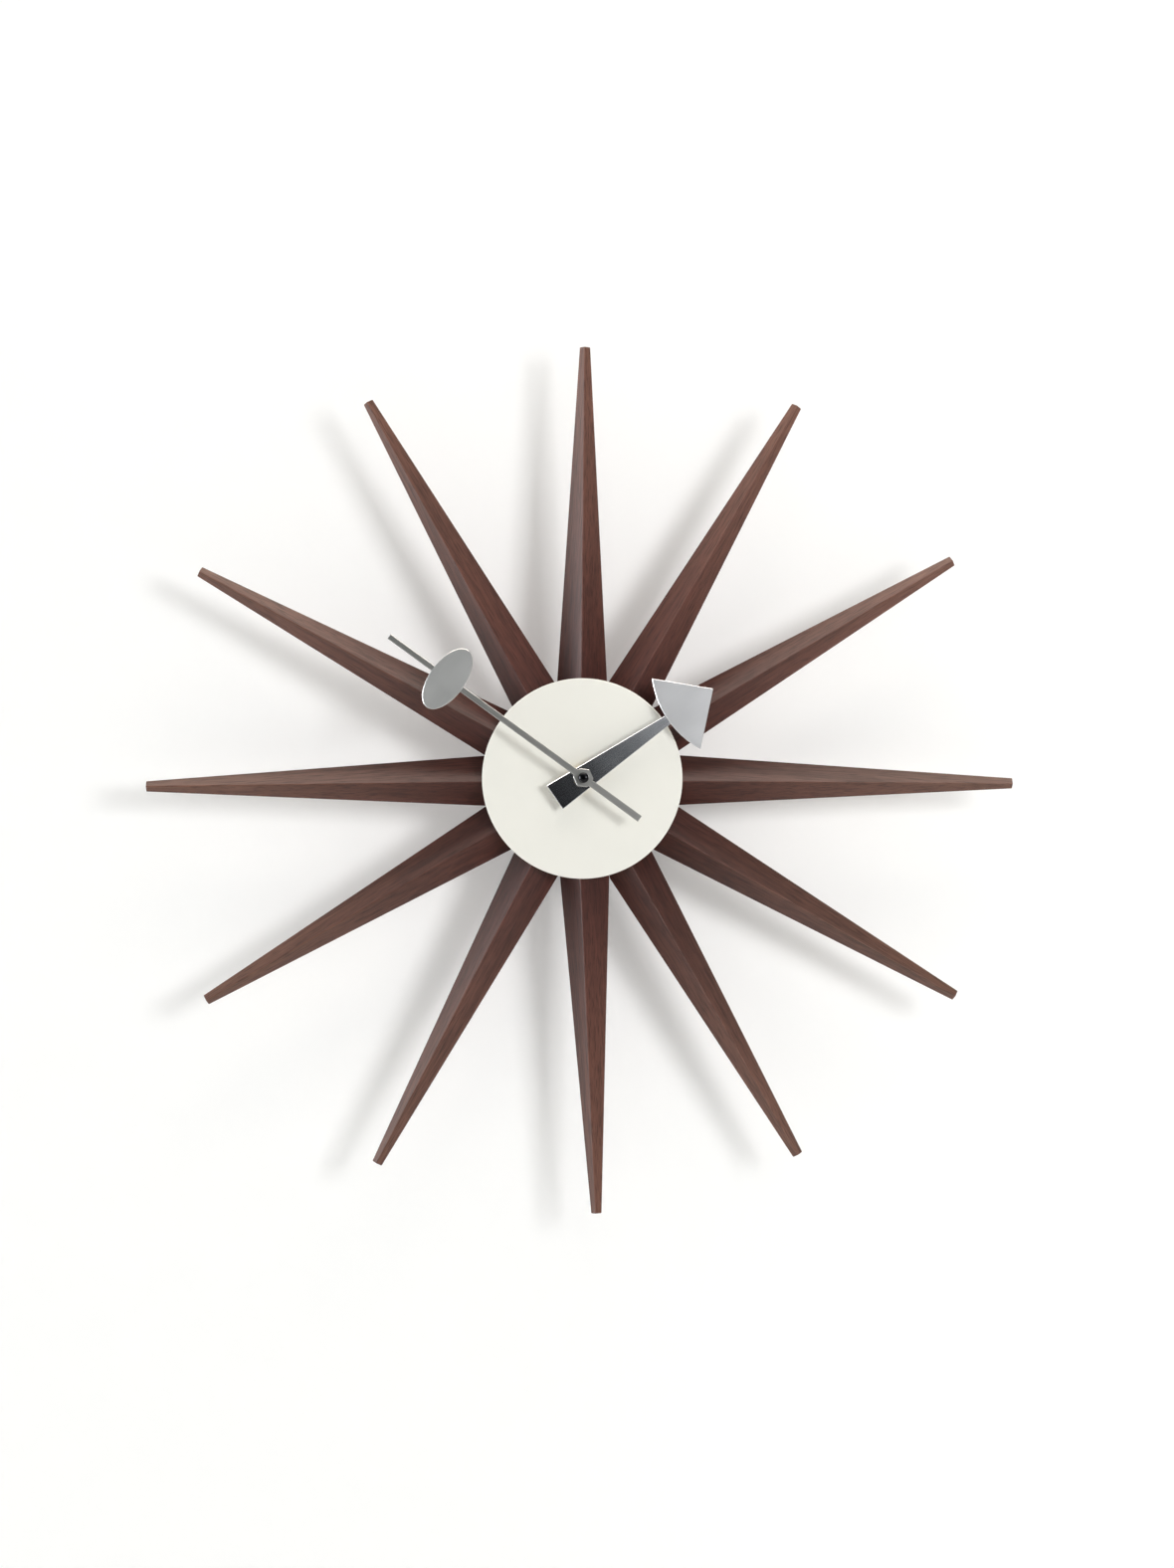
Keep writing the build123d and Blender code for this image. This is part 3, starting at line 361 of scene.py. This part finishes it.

# %% [markdown]
# The front edge of each ray is made a little paler and smoother than the faces. This is partly the wear
# of hands and sandpaper, and partly a painted highlight: the pale line that a rounded ridge shows in
# the light.
# On a rounded edge the surface turns through the directions between its two faces, so the direction
# that a point faces tells how far onto the edge it lies. That needs no map painted by hand.

# %% Rubbed edge
def edge_wear_and_highlight_group():
    """1 on an edge whose middle faces along Facing, 0 on the faces beside it."""
    group, given, result = start_group(
        "edge wear and highlight",
        [("Normal", "Vector", None), ("Facing", "Vector", None), ("From", "Float", 0.9),
         ("To", "Float", 0.99)],
        [("Mask", "Float")])
    along = add(group, "VectorMath", operation="DOT_PRODUCT")
    put(group, along, 0, given["Normal"])
    put(group, along, 1, given["Facing"])
    node = add(group, "MapRange", clamp=True)
    put(group, node, "Value", along.outputs["Value"])
    put(group, node, "From Min", given["From"])
    put(group, node, "From Max", given["To"])
    put(group, result, "Mask", node.outputs["Result"])
    return group


edge_wear_and_highlight = edge_wear_and_highlight_group()

# %% [markdown]
# All twelve rays have one finish, the same on every face, because a bar of wood has one colour and
# its lit and shaded sides come from the lamps. Real boards still differ a little, so each ray has
# its own place in the noise and is slightly lighter or redder than its neighbours, by amounts
# chosen freely. The colour is about two and a half times as pale at a ray's tip as at the dial.
# The darker end at the dial is partly painted shade, for the shade that the dial and the
# neighbouring rays cast near the hub, and partly the wood's own finish, paler at the thin ends. Thin
# ends may have been sanded harder or taken less oil, but that reason is a guess.

# %% Walnut rays
# The dial end's darker colour is partly painted shade near the hub, partly the wood's finish.
DIAL_END_WALNUT_AND_SHADE = (0.096, 0.033, 0.026)
TIP_WALNUT = (0.205, 0.096, 0.066)
BOARDS = {  # hour: (how light the board is, how red it is), against 1 for the plain walnut
    1: (1.05, 1.04), 2: (0.94, 1.06), 3: (1.02, 0.97), 4: (1.05, 0.96), 5: (1.0, 0.98),
    6: (0.92, 1.05),
    7: (1.02, 1.02), 8: (1.04, 0.97), 9: (0.98, 0.98), 10: (0.97, 1.0), 11: (1.06, 1.04),
    12: (0.96, 1.05),
}
DARK_SHARE = 0.44  # how light the dark streaks are against the light ones
OIL_ROUGHNESS = 0.4
OIL_SPECULAR = 0.3
PORE_STRENGTH = 0.55
# How much paler the front ridge is: partly wear, partly a painted highlight.
EDGE_WEAR_AND_HIGHLIGHT, EDGE_SMOOTHER = 0.35, 0.1
BOARD_SHIFT = 1.7  # how far apart two rays lie in the noise
dial_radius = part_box("dial_disc")[1].x
tip_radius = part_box("ray_12")[1].z


def ray_direction(hour):
    """The angle of a ray, anticlockwise from three o'clock, from its own box."""
    low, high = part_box(f"ray_{hour:02d}")
    tip_x, tip_z = (max(low[axis], high[axis], key=abs) for axis in (0, 2))
    return math.atan2(tip_z, tip_x)


def ray_walnut(hour):
    """The walnut of one ray."""
    material, tree, shader, place = start_finish(f"walnut ray {hour:02d}")
    direction = ray_direction(hour)
    lightness, redness = BOARDS[hour]
    normal = [n for n in tree.nodes if n.type == "TEX_COORD"][0].outputs["Normal"]
    turned = stretched(tree, place, turn=(0, direction, 0), shift=(hour * BOARD_SHIFT, 0, 0))
    flat = add(tree, "VectorMath", operation="MULTIPLY")
    put(tree, flat, 0, place)
    put(tree, flat, 1, (1, 0, 1))
    length = add(tree, "VectorMath", operation="LENGTH")
    put(tree, length, 0, flat.outputs[0])
    # Darker towards the dial: partly painted shade near the hub, partly a paler finish at the tips.
    out_share = spread(tree, length.outputs["Value"], dial_radius, tip_radius)
    board = [tuple(lightness * c * r for c, r in zip(end, (redness, 1, 1)))
             for end in (DIAL_END_WALNUT_AND_SHADE, TIP_WALNUT)]
    light = blend_colours(tree, out_share, *board)
    dark = blend_colours(tree, 1 - DARK_SHARE, light, (0, 0, 0))
    figure = use_group(tree, walnut_figure, Vector=turned, Dark=dark, Light=light,
                       Pores=PORE_STRENGTH)
    # The front ridge is lightened here: partly wear, partly a painted highlight.
    edge = use_group(tree, edge_wear_and_highlight, Normal=normal, Facing=(0, -1, 0), From=0.9,
                     To=0.985)["Mask"]
    brighter = add(tree, "VectorMath", operation="SCALE")
    put(tree, brighter, 0, figure["Color"])
    put(tree, brighter, "Scale", sums(tree, "MULTIPLY_ADD", edge, EDGE_WEAR_AND_HIGHLIGHT, 1))
    put(tree, shader, "Base Color", brighter.outputs[0])
    rough = sums(tree, "ADD", OIL_ROUGHNESS, figure["Roughness"])
    smoother = sums(tree, "MULTIPLY", edge, EDGE_SMOOTHER)
    put(tree, shader, "Roughness", sums(tree, "SUBTRACT", rough, smoother))
    shader.inputs["Specular IOR Level"].default_value = OIL_SPECULAR
    bump(tree, shader, figure["Height"], 0.25, 0.00012)
    return material


for hour in range(1, 13):
    dress(ray_walnut(hour), f"ray_{hour:02d}")
print("ray directions:", {h: round(math.degrees(ray_direction(h)), 1) for h in range(1, 13)})

# %% [markdown]
# ## Paint
# The dial is sprayed off-white with a soft satin gloss and a very faint orange-peel texture. The
# drum is black powder coat, which is matt with a fine pebbled surface. Both are one colour to
# the eye, but their tiny waves are what makes a highlight look like paint and not like plastic.

# %% Paint texture
def sprayed_group():
    """Small waves and specks of a sprayed coat: a height and a slight change of tone."""
    group, given, result = start_group(
        "sprayed coat",
        [("Vector", "Vector", None), ("Scale", "Float", 900.0), ("Color", "Color", (0.8, 0.8, 0.8, 1)),
         ("Change", "Float", 0.03), ("Roughness", "Float", 0.4)],
        [("Color", "Color"), ("Height", "Float"), ("Roughness", "Float")])
    waves = add(group, "TexNoise")
    for socket, value in (("Vector", given["Vector"]), ("Scale", given["Scale"]), ("Detail", 2.0)):
        put(group, waves, socket, value)
    clouds = noise(group, given["Vector"], 22, 3)
    tone = sums(group, "MULTIPLY_ADD", sums(group, "SUBTRACT", clouds, 0.5),
                sums(group, "MULTIPLY", given["Change"], 2), 1)
    tinted = add(group, "VectorMath", operation="SCALE")
    put(group, tinted, 0, given["Color"])
    put(group, tinted, "Scale", tone)
    put(group, result, "Color", tinted.outputs[0])
    put(group, result, "Height", waves.outputs["Fac"])
    rough = sums(group, "MULTIPLY_ADD", sums(group, "SUBTRACT", clouds, 0.5), 0.12, given["Roughness"])
    put(group, result, "Roughness", rough)
    return group


sprayed = sprayed_group()


def coated(name, colour, roughness, scale, strength, change=0.03, **constant):
    """A painted or moulded finish in one colour with a fine surface."""
    material, tree, shader, place = start_finish(name)
    coat = use_group(tree, sprayed, Vector=place, Scale=scale, Color=colour, Change=change,
                     Roughness=roughness)
    put(tree, shader, "Base Color", coat["Color"])
    put(tree, shader, "Roughness", coat["Roughness"])
    for socket, value in constant.items():
        put(tree, shader, socket.replace("_", " "), value)
    bump(tree, shader, coat["Height"], strength, 0.0001)
    return material


# %% Dial and drum
dress(coated("dial paint", (0.86, 0.85, 0.79), 0.42, 1400, 0.06, 0.01), "dial_disc")
dress(coated("drum powder coat", (0.022, 0.022, 0.024), 0.5, 2600, 0.35, 0.1),
      "hub_drum", "hanger_plate")

# %% [markdown]
# ## Metals
# The hands are aluminium, satin brushed along their length, except the hour hand's arm, which is
# polished. Brushing is a set of very long thin scratches: noise squeezed hard across the brush
# direction, used for roughness and bump. The same group serves plated steel and brass with its
# scratches short and faint.

# %% Brushed lines
def brushed_group():
    """Long scratches along X: a tone, a roughness and a height."""
    group, given, result = start_group(
        "brushed lines",
        [("Vector", "Vector", None), ("Color", "Color", (0.6, 0.6, 0.6, 1)),
         ("Across", "Float", 5000.0), ("Along", "Float", 40.0),
         ("Roughness", "Float", 0.3), ("Depth", "Float", 0.1)],
        [("Color", "Color"), ("Height", "Float"), ("Roughness", "Float")])
    sizes = add(group, "CombineXYZ")
    for axis, name in zip("XYZ", ("Along", "Across", "Across")):
        put(group, sizes, axis, given[name])
    squeezed = add(group, "VectorMath", operation="MULTIPLY")
    put(group, squeezed, 0, given["Vector"])
    put(group, squeezed, 1, sizes.outputs[0])
    lines = noise(group, squeezed.outputs[0], 1, 3, 0.7)
    smears = noise(group, given["Vector"], 70, 3)
    centred = sums(group, "SUBTRACT", lines, 0.5)
    tone = sums(group, "MULTIPLY_ADD", centred, given["Depth"], 1)
    tinted = add(group, "VectorMath", operation="SCALE")
    put(group, tinted, 0, given["Color"])
    put(group, tinted, "Scale", tone)
    put(group, result, "Color", tinted.outputs[0])
    put(group, result, "Height", lines)
    rough = sums(group, "MULTIPLY_ADD", centred, given["Depth"], given["Roughness"])
    rough = sums(group, "MULTIPLY_ADD", sums(group, "SUBTRACT", smears, 0.5), 0.08, rough)
    put(group, result, "Roughness", rough)
    return group


brushed = brushed_group()


def metal(name, colour, roughness, angle=0.0, across=5000, along=40, depth=0.2, strength=0.08,
          **constant):
    """A metal finish; angle is the brush direction, anticlockwise from three o'clock."""
    material, tree, shader, place = start_finish(name)
    turned = stretched(tree, place, turn=(0, angle, 0))
    lines = use_group(tree, brushed, Vector=turned, Color=colour, Across=across, Along=along,
                      Roughness=roughness, Depth=depth)
    put(tree, shader, "Base Color", lines["Color"])
    put(tree, shader, "Roughness", lines["Roughness"])
    put(tree, shader, "Metallic", 1.0)
    for socket, value in constant.items():
        put(tree, shader, socket.replace("_", " "), value)
    bump(tree, shader, lines["Height"], strength, 0.00005)
    return material


# %% Hands
def farthest(name):
    """Where a part lies farthest from the hands' axis, as an angle and a distance."""
    point = max((v.co for v in nodes[name].data.vertices), key=lambda p: p.x * p.x + p.z * p.z)
    return math.atan2(point.z, point.x), math.hypot(point.x, point.z)


minute_angle = farthest("minute_hand_arm")[0]
hour_angle = math.atan2(sum(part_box("hour_hand_plate")[i].z for i in (0, 1)),
                        sum(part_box("hour_hand_plate")[i].x for i in (0, 1)))
print("hands at", round(math.degrees(minute_angle), 1), round(math.degrees(hour_angle), 1))

dress(metal("satin minute hand", (0.42, 0.415, 0.4), 0.3, minute_angle, depth=0.1,
            strength=0.03), "minute_hand_arm")
dress(metal("satin oval", (0.68, 0.68, 0.67), 0.32, minute_angle + math.pi / 2, depth=0.1,
            strength=0.04), "minute_hand_plate")
dress(metal("satin triangle", (0.7, 0.7, 0.715), 0.3, hour_angle, depth=0.08, strength=0.025),
      "hour_hand_plate")

# %% [markdown]
# The polished arm mirrors the dark room at its tail and picks up the light at its outer end, where
# its polish has also dulled a little. So its roughness rises along the arm instead of being one
# number.

# %% Polished arm
def polished_arm():
    """Polished aluminium that is duller towards the outer end."""
    material, tree, shader, place = start_finish("polished hour arm")
    turned = stretched(tree, place, turn=(0, hour_angle, 0))
    lines = use_group(tree, brushed, Vector=turned, Color=(0.5, 0.51, 0.54), Across=4000.0, Along=30.0,
                      Roughness=0.0, Depth=0.1)
    parts = add(tree, "SeparateXYZ")
    put(tree, parts, 0, turned)
    dulling = spread(tree, parts.outputs["X"], -0.018, 0.067, 0.1, 0.3)
    put(tree, shader, "Base Color", lines["Color"])
    put(tree, shader, "Roughness", sums(tree, "ADD", dulling, lines["Roughness"]))
    put(tree, shader, "Metallic", 1.0)
    bump(tree, shader, lines["Height"], 0.03, 0.00005)
    return material


dress(polished_arm(), "hour_hand_arm")
dress(metal("black chrome", (0.02, 0.02, 0.022), 0.16, depth=0.1), "minute_cap_nut")

# %% Turned and plated metals
dress(metal("bright zinc plate", (0.55, 0.56, 0.58), 0.3, across=900, along=900, depth=0.3),
      "hanger_rivets", "cover_screws", "plate_screws", "stator_screws", "board_screws", "clutch_spring")
dress(metal("yellow zinc plate", (0.62, 0.5, 0.27), 0.34, across=900, along=900, depth=0.35),
      "ray_screws")
dress(metal("turned brass", (0.72, 0.52, 0.22), 0.26, across=1800, along=1800, depth=0.2),
      "bush_washer", "bush_nut", "hour_collet", "minute_arbor")
dress(metal("stamped brass", (0.7, 0.5, 0.2), 0.32, across=3000, along=60, depth=0.2), "centre_wheel")
dress(metal("nickel strip", (0.66, 0.63, 0.57), 0.28, across=3000, along=60, depth=0.2),
      "positive_contact", "negative_contact")
dress(metal("annealed iron", (0.32, 0.32, 0.33), 0.45, across=1500, along=200, depth=0.3),
      "stator", "coil_core")
dress(metal("drawn can", (0.68, 0.68, 0.69), 0.22, across=2500, along=80, depth=0.15), "quartz_crystal")
dress(metal("sintered magnet", (0.13, 0.13, 0.14), 0.5, across=2500, along=2500, depth=0.4),
      "rotor_magnet")

# %% [markdown]
# ## Plastics and the rest of the movement
# The movement's case is black ABS with a spark-eroded texture, its gears are natural acetal, which
# is milky and lets a little light in, and the gasket is rubber. They share the sprayed coat's fine
# waves, at the scale and depth that each mould leaves.

# %% Plastics
dress(coated("textured black ABS", (0.018, 0.018, 0.019), 0.55, 3200, 0.5, 0.08),
      "movement_case", "movement_cover")
dress(coated("knob plastic", (0.05, 0.05, 0.052), 0.45, 2500, 0.3, 0.08), "setting_knob")
dress(coated("acetal plate", (0.66, 0.65, 0.6), 0.45, 1800, 0.12, 0.05, Subsurface_Weight=0.1),
      "train_plate", "coil_bobbin")
dress(coated("acetal gear", (0.78, 0.77, 0.72), 0.32, 1500, 0.1, 0.04, Subsurface_Weight=0.15),
      "hour_wheel", "minute_wheel", "third_wheel", "fourth_wheel", "fifth_wheel", "rotor_arbor",
      "setting_shaft")
dress(coated("solder mask", (0.03, 0.16, 0.06), 0.35, 700, 0.15, 0.2), "circuit_board")
dress(coated("epoxy blob", (0.01, 0.01, 0.011), 0.22, 500, 0.2, 0.1), "clock_chip")
dress(coated("gasket rubber", (0.015, 0.015, 0.015), 0.75, 2600, 0.4, 0.1), "drum_gasket")

# %% [markdown]
# ## The battery
# An AA cell is a drawn steel can in a printed plastic sleeve. The sleeve is shrunk over the rims,
# the steel shows inside them at both ends, and the positive end rises in a button. A lathe profile
# would make it too, but a cylinder whose ends are inset and pushed in or out follows how the can is
# pressed, and keeps every step easy to measure.

# %% Choosing by place
def only_this(piece):
    """Makes a piece the one that is selected and worked on."""
    bpy.ops.object.select_all(action="DESELECT")
    piece.select_set(True)
    bpy.context.view_layer.objects.active = piece


def pick_faces(piece, test):
    """In edit mode, selects the faces whose centre and normal pass the test."""
    bpy.ops.mesh.select_mode(type="FACE")
    bpy.ops.mesh.select_all(action="DESELECT")
    bpy.ops.object.mode_set(mode="OBJECT")
    count = 0
    for face in piece.data.polygons:
        face.select = bool(test(face.center, face.normal))
        count += face.select
    bpy.ops.object.mode_set(mode="EDIT")
    return count


def pick_edges(piece, test):
    """In edit mode, selects the edges whose two ends both pass the test."""
    bpy.ops.mesh.select_mode(type="EDGE")
    bpy.ops.mesh.select_all(action="DESELECT")
    bpy.ops.object.mode_set(mode="OBJECT")
    points = piece.data.vertices
    for edge in piece.data.edges:
        edge.select = all(test(points[i].co) for i in edge.vertices)
    bpy.ops.object.mode_set(mode="EDIT")


def settle(piece, name):
    """Puts a finished piece's place into its mesh and names it."""
    only_this(piece)
    bpy.ops.object.transform_apply(location=True, rotation=True, scale=True)
    piece.name = name
    piece.data.name = name


# %% Battery can
cell_low, cell_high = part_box("battery")
CELL_RADIUS = (cell_high.z - cell_low.z) / 2
cell_axis = (cell_low + cell_high) / 2
BUTTON_RISE, BUTTON_RADIUS, RIM = 0.0011, 0.0027, 0.0011
RIM_DEPTH, DISH_DEPTH = 0.0005, 0.0001
PLUS_STEP, MINUS_STEP = 0.0008, 0.0012
shoulder = cell_high.x - BUTTON_RISE
bpy.ops.object.select_all(action="DESELECT")
bpy.ops.mesh.primitive_cylinder_add(
    vertices=96, radius=CELL_RADIUS, depth=shoulder - cell_low.x, rotation=(0, math.pi / 2, 0),
    location=((shoulder + cell_low.x) / 2, cell_axis.y, cell_axis.z))
cell = bpy.context.object
settle(cell, "aa_cell")
bpy.ops.object.mode_set(mode="EDIT")
for end, side in ((shoulder, 1), (cell_low.x, -1)):
    print("end faces:", pick_faces(
        cell, lambda centre, normal: normal.x * side > 0.9 and abs(centre.x - end) < 1e-5))
    bpy.ops.mesh.inset(thickness=RIM)
    bpy.ops.transform.translate(value=(-side * RIM_DEPTH, 0, 0))
    bpy.ops.mesh.inset(thickness=PLUS_STEP if side > 0 else MINUS_STEP)
    bpy.ops.transform.translate(value=(-side * DISH_DEPTH, 0, 0))
    if side > 0:
        bpy.ops.mesh.inset(thickness=CELL_RADIUS - RIM - PLUS_STEP - BUTTON_RADIUS)
        bpy.ops.mesh.extrude_region_move(
            TRANSFORM_OT_translate={"value": (BUTTON_RISE + RIM_DEPTH + DISH_DEPTH, 0, 0)})
bpy.ops.object.mode_set(mode="OBJECT")

# %% Battery edges
def rim_edge(point):
    """The two outer corners of the can and the corner of the button."""
    radius = math.hypot(point.y - cell_axis.y, point.z - cell_axis.z)
    at_end = min(abs(point.x - shoulder), abs(point.x - cell_low.x)) < 1e-5
    on_button = abs(point.x - cell_high.x) < 1e-5 and radius > BUTTON_RADIUS - 1e-4
    return on_button or (radius > CELL_RADIUS - 1e-5 and at_end)


only_this(cell)
bpy.ops.object.mode_set(mode="EDIT")
pick_edges(cell, rim_edge)
bpy.ops.mesh.bevel(offset=0.0004, segments=4, profile=0.6)
bpy.ops.mesh.select_all(action="SELECT")
bpy.ops.mesh.normals_make_consistent(inside=False)
bpy.ops.object.mode_set(mode="OBJECT")
bpy.ops.object.shade_smooth_by_angle(angle=math.radians(35))
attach(cell, "hub")
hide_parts("battery")
print("cell:", len(cell.data.polygons), "faces, box", [round(v * 1000, 2) for v in cell.dimensions])

# %% Battery finish
COLLAR, BLUR = 0.012, 0.0001


def battery_finish():
    """Printed sleeve with a pale collar at the positive end, and bare steel inside the rims."""
    material, tree, shader, place = start_finish("battery sleeve and steel")
    middled = stretched(tree, place, shift=(0, -cell_axis.y, -cell_axis.z))
    parts = add(tree, "SeparateXYZ")
    put(tree, parts, 0, middled)
    radius = sums(tree, "SQRT", sums(tree, "ADD", sums(tree, "POWER", parts.outputs["Y"], 2.0),
                                     sums(tree, "POWER", parts.outputs["Z"], 2.0)))
    sleeve = spread(tree, radius, CELL_RADIUS - RIM - BLUR, CELL_RADIUS - RIM + BLUR)
    collar = spread(tree, parts.outputs["X"], shoulder - COLLAR - BLUR, shoulder - COLLAR + BLUR)
    print_colour = blend_colours(tree, collar, (0.035, 0.11, 0.26), (0.55, 0.52, 0.44))
    coat = use_group(tree, sprayed, Vector=place, Scale=600.0, Color=print_colour, Change=0.06,
                     Roughness=0.3)
    lines = use_group(tree, brushed, Vector=place, Color=(0.62, 0.61, 0.58), Across=2500.0,
                      Along=2500.0, Roughness=0.24, Depth=0.2)
    put(tree, shader, "Base Color", blend_colours(tree, sleeve, lines["Color"], coat["Color"]))
    put(tree, shader, "Roughness", spread(tree, sleeve, 0, 1, lines["Roughness"], coat["Roughness"]))
    put(tree, shader, "Metallic", sums(tree, "SUBTRACT", 1.0, sleeve))
    bump(tree, shader, coat["Height"], 0.05, 0.0001)
    return material


cell.data.materials.clear()
cell.data.materials.append(battery_finish())

# %% [markdown]
# ## The coil
# The motor's coil is hundreds of turns of enamelled copper on a bobbin, and its surface is a row of
# round wires side by side. One turn is an oval loop, and the rest are copies of it set one wire
# apart, because a bump alone would leave the coil's outline smooth.

# %% One turn
wound_low, wound_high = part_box("coil_winding")
WIRE = 0.0004
WIRE_RADIUS = WIRE * 0.55  # a little over half, so that neighbouring turns meet
LOOP_RADIUS = 0.0029
wound_middle = (wound_low + wound_high) / 2
turns = int((wound_high.x - wound_low.x) / WIRE) - 1
pitch = (wound_high.x - wound_low.x - 2 * WIRE_RADIUS) / (turns - 1)
bpy.ops.object.select_all(action="DESELECT")
bpy.ops.mesh.primitive_torus_add(
    major_segments=32, minor_segments=8, major_radius=1 - WIRE_RADIUS / LOOP_RADIUS,
    minor_radius=WIRE_RADIUS / LOOP_RADIUS, rotation=(0, math.pi / 2, 0),
    location=(wound_low.x + WIRE_RADIUS, wound_middle.y, wound_middle.z))
winding = bpy.context.object
winding.dimensions = (wound_high.z - wound_low.z, wound_high.y - wound_low.y, 2 * WIRE_RADIUS)
settle(winding, "wound_wire")
only_this(winding)
rows = winding.modifiers.new("turns", "ARRAY")
rows.use_relative_offset = False
rows.use_constant_offset = True
rows.constant_offset_displace = (pitch, 0, 0)
rows.count = turns
bpy.ops.object.modifier_apply(modifier="turns")
bpy.ops.object.shade_smooth()
winding.data.materials.append(
    metal("enamelled wire", (0.62, 0.22, 0.08), 0.28, across=900, along=900, depth=0.3))
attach(winding, "hub")
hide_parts("coil_winding")
print("turns:", turns, "faces:", len(winding.data.polygons),
      "box", [round(v * 1000, 2) for v in winding.dimensions])
